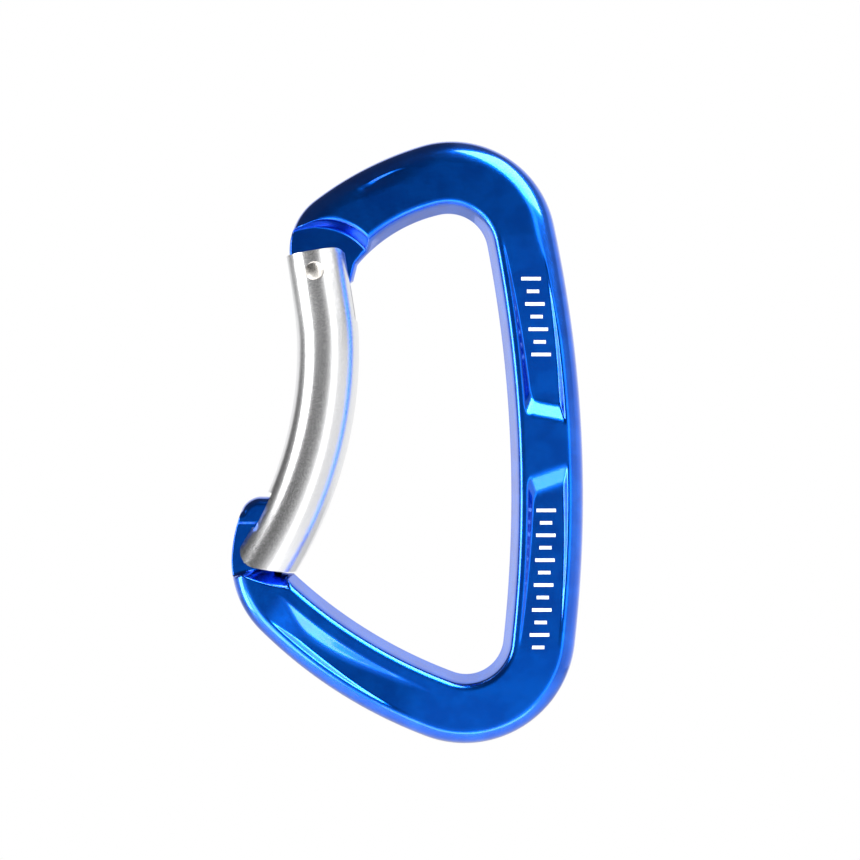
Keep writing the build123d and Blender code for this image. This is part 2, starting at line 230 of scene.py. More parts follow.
def distance_to_arc(points, centre, start, end):
    """Distance from each point to the shorter arc about centre from start to end."""
    centre, start, end = np.array(centre[:2]), np.array(start), np.array(end)
    radius = np.hypot(*(start - centre))
    middle = start + end - 2 * centre
    middle = middle / np.hypot(*middle)
    widest = middle @ (start - centre) / radius
    away = points - centre
    reach = np.hypot(away[..., 0], away[..., 1])
    inside = (away @ middle) / np.maximum(reach, 1e-9) >= widest
    to_start = np.hypot(points[..., 0] - start[0], points[..., 1] - start[1])
    to_end = np.hypot(points[..., 0] - end[0], points[..., 1] - end[1])
    return np.where(inside, np.abs(reach - radius), np.minimum(to_start, to_end))


def distance_to_line(points, start, end):
    """Distance from each point to the straight line from start to end."""
    start, end = np.array(start), np.array(end)
    way = end - start
    share = np.clip(((points - start) @ way) / (way @ way), 0, 1)
    foot = start + share[..., None] * way
    return np.hypot(points[..., 0] - foot[..., 0], points[..., 1] - foot[..., 1])


def side_of_line(points, line):
    """Signed distance from the endless line through two points, positive to its left."""
    start, end = np.array(line[0]), np.array(line[1])
    way = (end - start) / np.hypot(*(end - start))
    away = points - start
    return way[0] * away[..., 1] - way[1] * away[..., 0]


def smooth_least(first, second, blend):
    """The lesser of two heights, with the crease between them rounded over about blend."""
    near = np.clip(0.5 + 0.5 * (second - first) / blend, 0, 1)
    return second * (1 - near) + first * near - blend * near * (1 - near)


def smooth_step(value, low, high):
    """0 below low, 1 above high, and a smooth rise between."""
    share = np.clip((value - low) / (high - low), 0, 1)
    return share * share * (3 - 2 * share)


class Outline:
    """The frame's edge as two chains of arcs, from the hinge round the spine to the nose."""

    def __init__(self):
        tilt = math.radians(180 - HINGE_CORNER_TILT)
        reach = OUTER_UPPER_ARM[2] - HINGE_CORNER_RADIUS
        self.hinge = (OUTER_UPPER_ARM[0] + reach * math.cos(tilt),
                      OUTER_UPPER_ARM[1] + reach * math.sin(tilt))
        self.hinge_circle = (*self.hinge, HINGE_CORNER_RADIUS)
        self.top = blend_centre(OUTER_UPPER_ARM, OUTER_SPINE, TOP_CORNER)
        self.bottom = blend_centre(OUTER_SPINE, OUTER_LOWER_ARM, BOTTOM_CORNER)
        self.heel = blend_centre(OUTER_LOWER_ARM, OUTER_NOSE, HEEL_CORNER)
        self.sling = blend_centre(INNER_UPPER_ARM, INNER_SPINE, SLING_BASKET)
        self.rope = blend_centre(INNER_SPINE, INNER_LOWER_ARM, ROPE_BASKET)
        self.tongue_left = left_at(self.hinge_circle, PIVOT[1])
        self.tongue_knee = left_at(INNER_UPPER_ARM, TONGUE_KNEE_Z)
        # as far beyond the tongue's tip as the knee is before it
        self.past_tongue = (2 * TONGUE_TIP[0] - self.tongue_knee[0],
                            2 * TONGUE_TIP[1] - self.tongue_knee[1])
        self.hinge_end = touch_point(OUTER_UPPER_ARM, self.hinge)
        self.top_start = touch_point(OUTER_UPPER_ARM, self.top)
        self.top_end = touch_point(OUTER_SPINE, self.top)
        self.bottom_start = touch_point(OUTER_SPINE, self.bottom)
        self.bottom_end = touch_point(OUTER_LOWER_ARM, self.bottom)
        self.heel_start = touch_point(OUTER_LOWER_ARM, self.heel)
        self.heel_end = touch_point(OUTER_NOSE, self.heel)
        self.nose_in = polar(NOSE_TIP_RADIUS, NOSE_INNER_ANGLE)
        self.nose_root = polar(NOSE_ROOT_RADIUS, NOSE_INNER_ANGLE)
        self.sling_start = touch_point(INNER_UPPER_ARM, self.sling)
        self.sling_end = touch_point(INNER_SPINE, self.sling)
        self.rope_start = touch_point(INNER_SPINE, self.rope)
        self.rope_end = touch_point(INNER_LOWER_ARM, self.rope)
        root_circle = (*PIVOT, NOSE_ROOT_RADIUS)
        self.shoulder = meet(root_circle, INNER_LOWER_ARM, self.nose_root)
        # where the forged arc of the lower arm meets the line of the nose
        self.forged_root = left_at(INNER_LOWER_ARM, -57.4)

    def inner_distance(self, p):
        """Distance to the forged inner edge."""
        return np.minimum.reduce([
            distance_to_arc(p, INNER_UPPER_ARM, self.tongue_knee, self.sling_start),
            distance_to_line(p, self.tongue_knee, self.past_tongue),
            distance_to_arc(p, self.sling, self.sling_start, self.sling_end),
            distance_to_arc(p, INNER_SPINE, self.sling_end, self.rope_start),
            distance_to_arc(p, self.rope, self.rope_start, self.rope_end),
            distance_to_arc(p, INNER_LOWER_ARM, self.rope_end, self.forged_root),
            distance_to_line(p, self.forged_root, self.nose_in),
        ])

    def outer_distance(self, p):
        """Distance to the forged outer edge."""
        return np.minimum.reduce([
            distance_to_arc(p, self.hinge, left_at(self.hinge_circle, -13.0), self.hinge_end),
            distance_to_arc(p, OUTER_UPPER_ARM, self.hinge_end, self.top_start),
            distance_to_arc(p, self.top, self.top_start, self.top_end),
            distance_to_arc(p, OUTER_SPINE, self.top_end, self.bottom_start),
            distance_to_arc(p, self.bottom, self.bottom_start, self.bottom_end),
            distance_to_arc(p, OUTER_LOWER_ARM, self.bottom_end, self.heel_start),
            distance_to_arc(p, self.heel, self.heel_start, self.heel_end),
            distance_to_arc(p, OUTER_NOSE, self.heel_end, left_at(OUTER_NOSE, -44.0)),
        ])


# ---------------------------------------------------------------- the frame's surface

def edge_height(distance, draft, shoulder):
    """Height of the section at a distance from its edge: drafted wall, round shoulder, face."""
    slope = math.radians(draft)
    centre_y = HALF_THICKNESS - shoulder
    centre_d = (shoulder + centre_y * math.sin(slope)) / math.cos(slope)
    touch_d = centre_d - shoulder * math.cos(slope)
    rise = np.maximum(distance, 0) / math.tan(slope)
    wall = np.sqrt(rise * rise + 2 * PARTING_ROUND * rise) - PARTING_ROUND * rise / (rise + PARTING_ROUND)
    arch = centre_y + np.sqrt(np.maximum(shoulder ** 2 - (centre_d - distance) ** 2, 0))
    return np.where(distance < touch_d, wall, np.where(distance < centre_d, arch, HALF_THICKNESS))


def step_limit(p):
    """Height left by the milled step of the hinge tongue."""
    root = np.hypot(p[..., 0] - STEP_ROOT[0], p[..., 1] - STEP_ROOT[1]) - STEP_ROOT[2]
    face = np.hypot(p[..., 0] - STEP_FACE[0], p[..., 1] - STEP_FACE[1]) - STEP_FACE[2]
    width = np.maximum(root - face, 0.25)
    rise = root / width
    low = 1 - smooth_least(1 - rise, np.ones_like(rise), 0.16)
    cove = TONGUE_HALF + (HALF_THICKNESS - TONGUE_HALF) * np.maximum(low, 0) ** 1.3
    return np.where(rise > 1.6, ABOVE_ALL, cove)


def nose_limit(p):
    """Height left by the milled neck and head of the nose."""
    reach = np.hypot(p[..., 0] - PIVOT[0], p[..., 1] - PIVOT[1])
    angle = np.degrees(np.arctan2(PIVOT[0] - p[..., 0], PIVOT[1] - p[..., 1]))
    under_top = FACET_TOP[2] - np.hypot(p[..., 0] - FACET_TOP[0], p[..., 1] - FACET_TOP[1])
    over_low = FACET_LOW[2] - np.hypot(p[..., 0] - FACET_LOW[0], p[..., 1] - FACET_LOW[1])
    rise = under_top / np.maximum(under_top + over_low, FACET_LEAST)
    right_end = (p[..., 0] - FACET_RIGHT[0]) / (FACET_RIGHT[1] - FACET_RIGHT[0])
    rise = np.where(p[..., 1] < NECK_LOW_Z, np.maximum(rise, right_end), rise)
    neck = NOSE_NECK_HALF + (HALF_THICKNESS - NOSE_NECK_HALF) * np.maximum(rise, 0)
    below = smooth_step(-p[..., 1], -HEAD_STEP_Z - HEAD_STEP_HALF, -HEAD_STEP_Z + HEAD_STEP_HALF)
    head = NOSE_HEAD_HALF + (NOSE_NECK_HALF - NOSE_HEAD_HALF) * below
    limit = np.where(p[..., 1] > HEAD_STEP_Z - 1, head, neck)
    beyond = (reach > NOSE_REACH) | (angle < NOSE_ANGLES[0]) | (angle > NOSE_ANGLES[1])
    return np.where(beyond, ABOVE_ALL, limit)


def pocket_depth(p, inner, outer):
    """Depth of the two spine pockets and the two arm pockets."""
    z = p[..., 1]
    left = inner - POCKET_INNER_MARGIN
    right = outer - POCKET_OUTER_MARGIN
    above = side_of_line(p, UPPER_POCKET_END)
    upper_floor = POCKET_DEPTH * (UPPER_POCKET_TOP_Z - z) / (UPPER_POCKET_TOP_Z - UPPER_POCKET_FULL_Z)
    upper_floor = np.minimum(upper_floor, POCKET_DEPTH)
    side, end = UPPER_POCKET_SLOPES
    upper = smooth_least(side * left, end * above, POCKET_CORNER_BLEND)
    upper = smooth_least(upper, POCKET_OUTER_SLOPE * right, POCKET_BLEND)
    upper = smooth_least(upper, upper_floor, POCKET_BLEND)
    below = -side_of_line(p, LOWER_POCKET_END)
    lower_floor = POCKET_DEPTH * (z - LOWER_POCKET_LOW_Z) / (LOWER_POCKET_FULL_Z - LOWER_POCKET_LOW_Z)
    lower_floor = np.minimum(lower_floor, POCKET_DEPTH)
    side, end = LOWER_POCKET_SLOPES
    lower = smooth_least(side * left, end * below, POCKET_CORNER_BLEND)
    lower = smooth_least(lower, POCKET_OUTER_SLOPE * right, POCKET_BLEND)
    lower = smooth_least(lower, lower_floor, POCKET_BLEND)
    on_spine = p[..., 0] > SPINE_LEFT_X
    depth = np.where(on_spine, np.maximum(upper, lower), -1.0)
    depth = np.maximum(depth, upper_arm_pocket(p))
    depth = np.maximum(depth, lower_arm_pocket(p, inner, outer))
    return np.maximum(depth, 0)


def upper_arm_pocket(p):
    """A shallow scoop in the upper arm with a steep curved wall, from a sharp point at its left end."""
    inside = ARM_SCOOP[2] - np.hypot(p[..., 0] - ARM_SCOOP[0], p[..., 1] - ARM_SCOOP[1])
    along = (p - np.array(ARM_SCOOP_EDGE[0])) @ np.array(ARM_SCOOP_WAY)
    wall = ARM_SCOOP_WALL * inside
    floor = SCOOP_SIDE_SLOPE * side_of_line(p, ARM_SCOOP_EDGE) * (1 - smooth_step(along, *ARM_SCOOP_FADE))
    depth = smooth_least(wall, floor, 0.05)
    return np.where((p[..., 0] < 0) & (p[..., 1] > -3), depth, -1.0)


def lower_arm_pocket(p, inner, outer):
    """A scoop along the lower arm, steep at its outer wall and fading towards the rope basket."""
    along = (p - np.array(LOW_SCOOP_START)) @ np.array(LOW_SCOOP_WAY)
    wall = LOW_SCOOP_WALL * (outer - LOW_SCOOP_MARGINS[0])
    fade = smooth_step(along, -0.5, 7.5) * (1 - smooth_step(along, 9.0, 31.0))
    floor = LOW_SCOOP_DEPTH * fade
    side = SCOOP_SIDE_SLOPE * (inner - LOW_SCOOP_MARGINS[1])
    depth = smooth_least(smooth_least(wall, floor, 0.1), side, 0.2)
    return np.where((p[..., 0] < 2) & (p[..., 1] < -50), depth, -1.0)


def body_height(outline, p):
    """Half thickness of the frame over each point of its outline."""
    inner = outline.inner_distance(p)
    outer = outline.outer_distance(p)
    stretch = OUTER_STRETCH[0] + OUTER_STRETCH[1] * smooth_step(p[..., 1], *OUTER_STRETCH_Z)
    forged = smooth_least(
        edge_height(inner, INNER_DRAFT, INNER_SHOULDER),
        edge_height(outer / stretch, OUTER_DRAFT, OUTER_SHOULDER),
        FORGED_BLEND,
    )
    face = HALF_THICKNESS - pocket_depth(p, inner, outer)
    height = smooth_least(forged, face, FACE_BLEND)
    height = smooth_least(height, step_limit(p), STEP_BLEND)
    return smooth_least(height, nose_limit(p), NOSE_BLEND)


def rung_shares():
    """Places across the frame: dense near the edges, where the section turns."""
    wall = np.array([0, 0.004, 0.012, 0.03, 0.075, 0.14, 0.2, 0.25])
    return np.concatenate([wall, np.linspace(0.29, 0.6, 9), np.linspace(0.63, 1.0, 11)])


def rung(start, end, bulge, shares, reach):
    """Points across the frame from its inner to its outer edge, bowed sideways by bulge."""
    width = np.hypot(*(end - start))
    near = min(reach, 0.46 * width)
    left = near * shares / width
    middle = np.linspace(left[-1], 1 - left[-1], 8)[1:-1]
    share = np.concatenate([left, middle, 1 - left[::-1]])[:, None]
    return start * (1 - share) + end * share + 4 * share * (1 - share) * bulge


def stations(outline):
    """Inner point, outer point and bow of each station along the frame."""
    o = outline
    tongue_low = np.array((PIVOT[0] + TONGUE_LOW[0], PIVOT[1] + TONGUE_LOW[1]))
    root_in = meet(STEP_ROOT, INNER_UPPER_ARM, (-13.3, -6.5))
    face_in = meet(STEP_FACE, INNER_UPPER_ARM, (-12.3, -5.4))
    root_out = left_at(o.hinge_circle, -3.7)
    face_out = left_at(o.hinge_circle, -2.9)
    nose_out_root = meet((*PIVOT, NOSE_ROOT_RADIUS), (*o.heel, HEEL_CORNER[0]), o.heel_end)
    end_bow = tongue_low - (np.array(TONGUE_TIP) + np.array(o.tongue_left)) / 2

    def bow(circle, first, second):
        middle = (np.array(first) + np.array(second)) / 2
        away = middle - np.array(circle[:2])
        return away / np.hypot(*away) * (circle[2] - np.hypot(*away))

    root_bow = bow(STEP_ROOT, root_in, root_out)
    face_bow = bow(STEP_FACE, face_in, face_out)
    nose_bow = bow((*PIVOT, NOSE_ROOT_RADIUS), o.nose_root, nose_out_root)
    none = np.zeros(2)
    parts = []

    def add(inner, outer, bow_start, bow_end):
        share = np.linspace(0, 1, len(inner))[:, None]
        share = share * share * (3 - 2 * share)
        parts.append((inner, outer, bow_start * (1 - share) + bow_end * share))

    on_line, on_arc = TONGUE_STATIONS
    tongue_side = np.concatenate([along_line(TONGUE_TIP, o.tongue_knee, on_line),
                                  along_arc(INNER_UPPER_ARM, o.tongue_knee, root_in, on_arc)[1:]])
    add(tongue_side, along_arc(o.hinge, o.tongue_left, root_out, on_line + on_arc - 1), end_bow, root_bow)
    add(along_arc(INNER_UPPER_ARM, root_in, face_in, STEP_STATIONS),
        along_arc(o.hinge, root_out, face_out, STEP_STATIONS), root_bow, face_bow)
    arm_middle = meet(INNER_UPPER_ARM, (*o.hinge_end, 13.2), (-12.0, -4.0))
    add(along_arc(INNER_UPPER_ARM, face_in, arm_middle, ARM_START_STATIONS),
        along_arc(o.hinge, face_out, o.hinge_end, ARM_START_STATIONS), face_bow, face_bow * 0.75)
    add(along_arc(INNER_UPPER_ARM, arm_middle, o.sling_start, ARM_STATIONS),
        along_arc(OUTER_UPPER_ARM, o.hinge_end, o.top_start, ARM_STATIONS), face_bow * 0.75, none)
    add(along_arc(o.sling, o.sling_start, o.sling_end, CORNER_STATIONS),
        along_arc(o.top, o.top_start, o.top_end, CORNER_STATIONS), none, none)
    add(along_arc(INNER_SPINE, o.sling_end, o.rope_start, SPINE_STATIONS),
        along_arc(OUTER_SPINE, o.top_end, o.bottom_start, SPINE_STATIONS), none, none)
    add(along_arc(o.rope, o.rope_start, o.rope_end, CORNER_STATIONS),
        along_arc(o.bottom, o.bottom_start, o.bottom_end, CORNER_STATIONS), none, none)
    add(along_arc(INNER_LOWER_ARM, o.rope_end, o.shoulder, LOWER_ARM_STATIONS),
        along_arc(OUTER_LOWER_ARM, o.bottom_end, o.heel_start, LOWER_ARM_STATIONS), none, none)
    add(along_arc(PIVOT, o.shoulder, o.nose_root, HEEL_STATIONS),
        along_arc(o.heel, o.heel_start, nose_out_root, HEEL_STATIONS), none, nose_bow)
    neck_turn = math.cos(math.radians(NOSE_INNER_ANGLE))

    def nose_inner(z):
        return polar((PIVOT[1] - z) / neck_turn, NOSE_INNER_ANGLE)

    def nose_outer(z):
        return left_at(OUTER_NOSE if z > o.heel_end[1] else (*o.heel, HEEL_CORNER[0]), z)

    rim_in = PIVOT[1] - (NOSE_TIP_RADIUS + NOSE_TIP_ROUND) * neck_turn
    rim_out = NOSE_TIP_Z - NOSE_TIP_ROUND
    # root, just below the head's step, just above it, and where the tip starts to round
    step_low = HEAD_STEP_Z - 2 * HEAD_STEP_HALF
    step_high = HEAD_STEP_Z + 2 * HEAD_STEP_HALF
    stages = np.arange(len(NOSE_STATIONS))
    climb = np.interp(np.arange(NOSE_STATIONS[-1] + 1), NOSE_STATIONS, stages)
    inner_z = np.interp(climb, stages, [o.nose_root[1], step_low, step_high, rim_in])
    outer_z = np.interp(climb, stages, [nose_out_root[1], step_low, step_high, rim_out])
    nose_in = np.array([nose_inner(z) for z in inner_z])
    nose_out = np.array([nose_outer(z) for z in outer_z])
    fade = (1 - np.clip(climb, 0, 1))[:, None]
    parts.append((nose_in, nose_out, nose_bow * fade))
    turns = np.radians(np.linspace(0, 90, TIP_STATIONS))
    tip_in, tip_out = [], []
    for turn in turns:
        gap = NOSE_TIP_ROUND * (1 - math.sin(turn))
        inset = NOSE_TIP_ROUND * (1 - math.cos(turn))
        low_in = np.array(polar(NOSE_TIP_RADIUS + gap, NOSE_INNER_ANGLE))
        low_out = np.array(left_at(OUTER_NOSE, NOSE_TIP_Z - gap))
        way = (low_out - low_in) / np.hypot(*(low_out - low_in))
        tip_in.append(low_in + way * inset)
        tip_out.append(low_out - way * inset)
    parts.append((np.array(tip_in), np.array(tip_out), np.zeros((len(turns), 2))))
    inner = np.concatenate([part[0][1 if k else 0:] for k, part in enumerate(parts)])
    outer = np.concatenate([part[1][1 if k else 0:] for k, part in enumerate(parts)])
    bows = np.concatenate([part[2][1 if k else 0:] for k, part in enumerate(parts)])
    starts = np.cumsum([0] + [len(part[0]) - 1 for part in parts])
    return inner, outer, bows, starts


# ---------------------------------------------------------------- meshes

def make_mesh(name, points, faces, smooth=True):
    """A mesh object from points in millimetres."""
    mesh = bpy.data.meshes.new(name)
    mesh.from_pydata((np.asarray(points) * MM).tolist(), [], faces)
    mesh.validate()
    mesh.polygons.foreach_set("use_smooth", [smooth] * len(mesh.polygons))
    thing = bpy.data.objects.new(name, mesh)
    bpy.context.scene.collection.objects.link(thing)
    return thing


def weld(thing):
    """Joins points that lie on each other, and drops the faces that this leaves empty."""
    work = bmesh.new()
    work.from_mesh(thing.data)
    bmesh.ops.remove_doubles(work, verts=work.verts, dist=1e-6)
    bmesh.ops.recalc_face_normals(work, faces=work.faces)
    work.to_mesh(thing.data)
    work.free()


def distance_to_path(points, path):
    """Distance from each point to a line through the points of path."""
    least = np.full(points.shape[:-1], 1e9)
    for start, end in zip(path[:-1], path[1:]):
        if np.hypot(*(end - start)) > 1e-6:
            least = np.minimum(least, distance_to_line(points, start, end))
    return least


def round_rim(heights, gap, rounding):
    """Rounds a milled plate's rim: heights fall to nothing over the last stretch before the edge."""
    share = np.clip(gap / rounding, 0, 1)
    return heights * np.sqrt(1 - (1 - share) ** 2)


def make_body():
    """The forged frame: a ring of points at each station, front and back alike."""
    outline = Outline()
    inner, outer, bows, starts = stations(outline)
    shares = rung_shares()
    rows = np.array([rung(inner[k], outer[k], bows[k], shares, EDGE_REACH) for k in range(len(inner))])
    count, across = rows.shape[:2]
    heights = body_height(outline, rows)
    tongue = slice(0, starts[1])
    heights[tongue] = round_rim(heights[tongue], distance_to_path(rows[tongue], rows[0]), TONGUE_RIM)
    corner, head = starts[8], starts[10]
    nose = slice(corner, count)
    rim = distance_to_path(rows[nose], np.concatenate([inner[nose], rows[-1][::6], outer[head:][::-1]]))
    above = smooth_step(rows[nose][..., 1], HEAD_STEP_Z - HEAD_STEP_HALF, HEAD_STEP_Z + HEAD_STEP_HALF)
    ease = np.minimum(np.arange(count - corner) / 12, 1)[:, None]
    rounding = NECK_RIM + (HEAD_RIM - NECK_RIM) * above
    heights[nose] = round_rim(heights[nose], rim, 0.02 + rounding * ease)
    heights[:, 0] = 0
    heights[:, -1] = 0
    front = np.stack([rows[..., 0], -heights, rows[..., 1]], 2)
    back = front[:, -2:0:-1] * np.array((1, -1, 1))
    points = np.concatenate([front, back], 1).reshape(-1, 3)
    loop = 2 * across - 2
    faces = [
        (k * loop + j, (k + 1) * loop + j, (k + 1) * loop + (j + 1) % loop, k * loop + (j + 1) % loop)
        for k in range(count - 1)
        for j in range(loop)
    ]
    piece = make_mesh("frame_body", points, faces)
    weld(piece)
    return piece


body = make_body()
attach(body, "frame")
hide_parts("body")


def soften_rims(thing, width):
    """Breaks the sharp rims of a CAD piece with a small bevel."""
    bevel = thing.modifiers.new("rims", "BEVEL")
    bevel.width = width
    bevel.segments = 2
    bevel.limit_method = "ANGLE"
    bevel.angle_limit = math.radians(50)
    bevel.harden_normals = True


soften_rims(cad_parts["gate"], GATE_RIM * MM)


def make_mark(name, centre, size):
    """A plain painted bar laid on the spine's face: a thin closed patch that follows the surface."""
    outline = Outline()
    wide, high = np.meshgrid(np.linspace(-0.5, 0.5, 9), np.linspace(-0.5, 0.5, 5))
    p = np.stack([centre[0] + wide * size[0], centre[1] + high * size[1]], -1)
    face = body_height(outline, p)
    top = np.stack([p[..., 0], -face - MARK_HEIGHT, p[..., 1]], -1).reshape(-1, 3)
    low = np.stack([p[..., 0], -face + MARK_HEIGHT, p[..., 1]], -1).reshape(-1, 3)
    rows, across = wide.shape
    grid = [(r * across + c, r * across + c + 1, (r + 1) * across + c + 1, (r + 1) * across + c)
            for r in range(rows - 1) for c in range(across - 1)]
    count = rows * across
    ring = list(range(across)) + [r * across + across - 1 for r in range(1, rows)]
    ring = ring + [count - 1 - c for c in range(1, across)] + [r * across for r in range(rows - 2, 0, -1)]
    sides = [(ring[k], ring[(k + 1) % len(ring)], ring[(k + 1) % len(ring)] + count, ring[k] + count)
             for k in range(len(ring))]
    faces = grid + [tuple(i + count for i in reversed(f)) for f in grid] + sides
    mark = make_mesh(name, np.concatenate([top, low]), faces, smooth=False)
    weld(mark)
    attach(mark, "frame")
    return mark


def mark_row(name, top_z, low_z, count, lean):
    """A row of bars down the middle of a spine pocket, in pairs of a long and a short one."""
    bars = []
    for k in range(count):
        z = top_z + (low_z - top_z) * k / (count - 1)
        spine_x = INNER_SPINE[0] + math.sqrt(INNER_SPINE[2] ** 2 - (z - INNER_SPINE[1]) ** 2)
        length = MARK_LENGTHS[k % 2]
        bars.append(make_mark(f"{name}_{k + 1}", (spine_x + lean, z), (length, MARK_WIDTH)))
    return bars


marks = mark_row("upper_mark", -11.0, -23.4, 7, 6.0) + mark_row("lower_mark", -49.0, -71.4, 12, 5.6)


def make_spring():
    """The closing spring: a fixed coil of wire in the gate's bore; on the real gate it shortens as the
    plunger moves down the gate.
    """
    low_z, high_z = SPRING_SPAN
    points, faces = [], []
    turns = np.linspace(0, 2 * math.pi * SPRING_TURNS, SPRING_TURNS * 28 + 1)
    around = np.linspace(0, 2 * math.pi, 10, endpoint=False)
    for turn in turns:
        z = low_z + (high_z - low_z) * turn / turns[-1]
        for a in around:
            reach = SPRING_COIL + SPRING_WIRE * math.cos(a)
            points.append((SPRING_X + reach * math.cos(turn), reach * math.sin(turn),
                           z + SPRING_WIRE * math.sin(a)))
    count = len(around)
    for k in range(len(turns) - 1):
        for j in range(count):
            n = (j + 1) % count
            faces.append((k * count + j, k * count + n, (k + 1) * count + n, (k + 1) * count + j))
    last = (len(turns) - 1) * count
    faces += [tuple(reversed(range(count))), tuple(range(last, last + count))]
    spring = make_mesh("closing_spring", points, faces)
    weld(spring)
    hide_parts("return_spring")
    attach(spring, "gate")
    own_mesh(spring)
    return spring


spring = make_spring()


# ---------------------------------------------------------------- materials

def new_material(name):
    """A new material, its node tree and its shader."""
    material = bpy.data.materials.new(name)
    material.use_nodes = True
    tree = material.node_tree
    shader = tree.nodes["Principled BSDF"]
    return material, tree, shader


def add_node(tree, kind, settings=None, **inputs):
    """A node with its settings and inputs; an input may be a value or another node's socket."""
    node = tree.nodes.new(kind)
    for key, value in (settings or {}).items():
        setattr(node, key, value)
    for key, value in inputs.items():
        numbered = key[0] == "i" and key[1:].isdigit()
        socket = node.inputs[int(key[1:]) if numbered else key.replace("_", " ")]
        if isinstance(value, bpy.types.NodeSocket):
            tree.links.new(value, socket)
        else:
            socket.default_value = value
    return node


def spread(tree, value, low, high, to_low, to_high):
    """Maps a value smoothly from low..high to another range, clamped."""
    node = add_node(tree, "ShaderNodeMapRange", {"interpolation_type": "SMOOTHSTEP", "clamp": True},
                    i0=value, i1=low, i2=high, i3=to_low, i4=to_high)
    return node.outputs[0]


def noise(tree, place, scale, detail=2.0, roughness=0.5):
    """Fractal noise over the piece; scale is in features per metre."""
    node = add_node(tree, "ShaderNodeTexNoise", None,
                    Vector=place, Scale=scale, Detail=detail, Roughness=roughness)
    return node.outputs["Fac"]


def bump(tree, height, distance, strength):
    """A bump from a height, in metres."""
    node = add_node(tree, "ShaderNodeBump", None, Strength=strength, Distance=distance, Height=height)
    return node.outputs["Normal"]


def mix(tree, share, first, second):
    """A colour between two others, by a share from 0 to 1."""
    node = add_node(tree, "ShaderNodeMix", {"data_type": "RGBA"}, i0=share)
    node.inputs[6].default_value = (*first, 1)
    node.inputs[7].default_value = (*second, 1)
    return node.outputs[2]


def anodised_blue():
    """Blue anodised aluminium: a tinted metal under a clear oxide, with a fine grain."""
    material, tree, shader = new_material("blue_anodised")
    place = tree.nodes.new("ShaderNodeTexCoord").outputs["Object"]
    grain = noise(tree, place, 9000, 2.0, 0.6)
    cloud = noise(tree, place, 260, 3.0, 0.5)
    patches = spread(tree, cloud, 0.35, 0.65, 0.0, 1.0)
    tint = mix(tree, patches, (0.0005, 0.115, 0.74), (0.0010, 0.150, 0.88))
    tree.links.new(tint, shader.inputs["Base Color"])
    tree.links.new(spread(tree, grain, 0.3, 0.7, 0.15, 0.26), shader.inputs["Roughness"])
    tree.links.new(bump(tree, grain, 0.00002, 0.22), shader.inputs["Normal"])
    shader.inputs["Metallic"].default_value = 1.0
    turned = tree.nodes.new("ShaderNodeLayerWeight").outputs["Facing"]
    tree.links.new(spread(tree, turned, 0.008, 0.16, 0.12, 1.0), shader.inputs["Coat Weight"])
    shader.inputs["Coat Roughness"].default_value = 0.05
    shader.inputs["Coat IOR"].default_value = 1.5
    return material


def satin_aluminium():
    """Bare satin aluminium with a fine tumbled grain."""
    material, tree, shader = new_material("satin_aluminium")
    place = tree.nodes.new("ShaderNodeTexCoord").outputs["Object"]
    grain = noise(tree, place, 12000, 2.0, 0.6)
    tree.links.new(spread(tree, grain, 0.3, 0.7, 0.20, 0.30), shader.inputs["Roughness"])
    tree.links.new(bump(tree, grain, 0.00002, 0.30), shader.inputs["Normal"])
    specks = spread(tree, grain, 0.35, 0.65, 0.0, 1.0)
    tone = mix(tree, specks, (0.76, 0.76, 0.77), (0.85, 0.85, 0.86))
    tree.links.new(tone, shader.inputs["Base Color"])
    shader.inputs["Metallic"].default_value = 1.0
    return material


def steel(name, colour, rough):
    """Plain steel with a fine turned grain."""
    material, tree, shader = new_material(name)
    place = tree.nodes.new("ShaderNodeTexCoord").outputs["Object"]
    grain = noise(tree, place, 5000, 2.0, 0.6)
    tone = mix(tree, grain, [c * 0.85 for c in colour], colour)
    tree.links.new(tone, shader.inputs["Base Color"])
    tree.links.new(spread(tree, grain, 0.3, 0.7, rough, rough + 0.1), shader.inputs["Roughness"])
    shader.inputs["Metallic"].default_value = 1.0
    return material


def paint(thing, material):
    """Gives a piece one material."""
    thing.data.materials.clear()
    thing.data.materials.append(material)


def white_ink():
    """Matt white marking ink, slightly uneven."""
    material, tree, shader = new_material("white_ink")
    place = tree.nodes.new("ShaderNodeTexCoord").outputs["Object"]
    patch = noise(tree, place, 2500, 3.0, 0.6)
    patches = spread(tree, patch, 0.35, 0.65, 0.0, 1.0)
    tone = mix(tree, patches, (0.70, 0.74, 0.82), (0.88, 0.90, 0.94))
    tree.links.new(tone, shader.inputs["Base Color"])
    tree.links.new(spread(tree, patch, 0.3, 0.7, 0.5, 0.7), shader.inputs["Roughness"])
    return material


paint(body, anodised_blue())
ink = white_ink()
for mark in marks:
    paint(mark, ink)
paint(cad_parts["gate"], satin_aluminium())
paint(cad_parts["hinge_rivet"], steel("rivet_steel", (0.70, 0.67, 0.63), 0.24))
paint(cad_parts["spring_plunger"], steel("plunger_steel", (0.55, 0.55, 0.56), 0.22))
paint(spring, steel("spring_steel", (0.48, 0.48, 0.50), 0.2))


# ---------------------------------------------------------------- camera, light and floor

VIEW_CENTRE = (-0.003, 0.0, -0.0358)
VIEW_WIDTH = 0.1430
LENS = 85.0
SENSOR = 36.0
FLOOR_HALF = 1.2
FLOOR_Z = -0.6

# name, turn, angle off the line of sight, distance, width, height and power; all above the floor
SOFTBOXES = [
    ("left_softbox", 190, 71, 0.9, 0.39, 0.8, 7.0),
    ("lower_left_softbox", 222, 50, 0.7, 0.26, 0.30, 4.5),
    ("upper_right_key", 56, 58, 1.2, 0.8, 1.0, 9.0),
    ("right_strip", 0, 25.5, 1.2, 0.36, 1.1, 1.7),
    ("low_front", 278, 47, 0.65, 0.55, 0.16, 3.0),
]


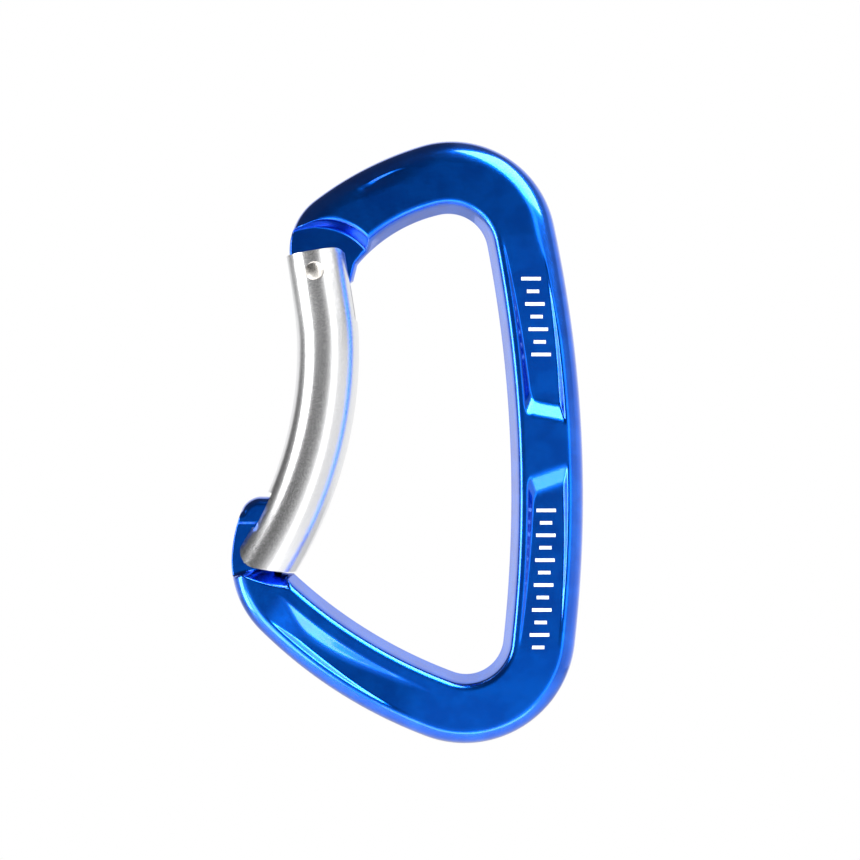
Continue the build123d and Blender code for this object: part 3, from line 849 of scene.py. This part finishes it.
def make_camera():
    """A camera level with the carabiner's middle, straight in front of it."""
    camera = bpy.data.objects.new("camera", bpy.data.cameras.new("camera"))
    bpy.context.scene.collection.objects.link(camera)
    camera.data.lens = LENS
    camera.data.sensor_width = SENSOR
    camera.location = (VIEW_CENTRE[0], -VIEW_WIDTH * LENS / SENSOR, VIEW_CENTRE[2])
    camera.rotation_euler = (math.radians(90), 0, 0)
    camera.data.clip_start = 0.01
    bpy.context.scene.camera = camera


def make_softbox(name, turn, away, distance, width, height, power):
    """An area light facing the carabiner. turn goes round the line of sight from +X towards +Z, and
    away is the angle off that line, both in degrees."""
    phi, theta = math.radians(turn), math.radians(away)
    way = Vector((math.sin(theta) * math.cos(phi), -math.cos(theta), math.sin(theta) * math.sin(phi)))
    data = bpy.data.lights.new(name, "AREA")
    data.shape = "RECTANGLE"
    data.size, data.size_y = width, height
    data.energy = power * math.pi * width * height
    light = bpy.data.objects.new(name, data)
    bpy.context.scene.collection.objects.link(light)
    light.location = Vector(VIEW_CENTRE) + way * distance
    light.rotation_mode = "QUATERNION"
    light.rotation_quaternion = way.to_track_quat("Z", "Y")
    light.visible_camera = False


def make_world():
    """A white room behind the carabiner and a dimmer one in front, brighter below."""
    world = bpy.data.worlds.new("studio")
    bpy.context.scene.world = world
    world.use_nodes = True
    tree = world.node_tree
    tree.nodes.clear()
    way = tree.nodes.new("ShaderNodeTexCoord").outputs["Generated"]
    split = add_node(tree, "ShaderNodeSeparateXYZ", None, i0=way)
    x, y, z = split.outputs

    def maths(kind, a, b):
        return add_node(tree, "ShaderNodeMath", {"operation": kind}, i0=a, i1=b).outputs[0]

    front = spread(tree, x, -0.03, 0.10, 0.20, 0.52)
    front = maths("ADD", front, spread(tree, x, 0.25, 0.6, 0.0, 0.35))
    upper = spread(tree, z, 0.03, 0.16, 1.0, 0.45)
    front = maths("MULTIPLY", front, upper)
    lower = spread(tree, z, -0.20, -0.01, 0.75, 0.0)
    front = maths("MAXIMUM", front, lower)
    rise = maths("MULTIPLY", maths("MAXIMUM", z, 0.0), 0.5)
    edge = maths("ADD", maths("MULTIPLY", x, -0.36), rise)
    past = maths("SUBTRACT", y, edge)
    back = spread(tree, past, 0.12, 0.36, 0.0, 1.0)
    level = maths("ADD", maths("MULTIPLY", front, maths("SUBTRACT", 1.0, back)), back)
    seen = tree.nodes.new("ShaderNodeLightPath").outputs["Is Camera Ray"]
    level = maths("MAXIMUM", level, seen)
    sky = add_node(tree, "ShaderNodeBackground", None, Strength=level)
    sky.inputs["Color"].default_value = (1, 1, 1, 1)
    out = tree.nodes.new("ShaderNodeOutputWorld")
    tree.links.new(sky.outputs[0], out.inputs[0])


def make_floor():
    """A plain pale floor, well below the carabiner."""
    mesh = bpy.data.meshes.new("floor")
    corners = [(x * FLOOR_HALF, y * FLOOR_HALF, FLOOR_Z) for x, y in ((-1, -1), (1, -1), (1, 1), (-1, 1))]
    mesh.from_pydata(corners, [], [(0, 1, 2, 3)])
    floor = bpy.data.objects.new("floor", mesh)
    bpy.context.scene.collection.objects.link(floor)
    material, tree, shader = new_material("pale_floor")
    place = tree.nodes.new("ShaderNodeTexCoord").outputs["Object"]
    tree.links.new(spread(tree, noise(tree, place, 30), 0.3, 0.7, 0.55, 0.7), shader.inputs["Roughness"])
    shader.inputs["Base Color"].default_value = (0.9, 0.9, 0.9, 1)
    paint(floor, material)


make_camera()
make_world()
make_floor()
for box in SOFTBOXES:
    make_softbox(*box)
bpy.context.scene.view_settings.view_transform = "Standard"
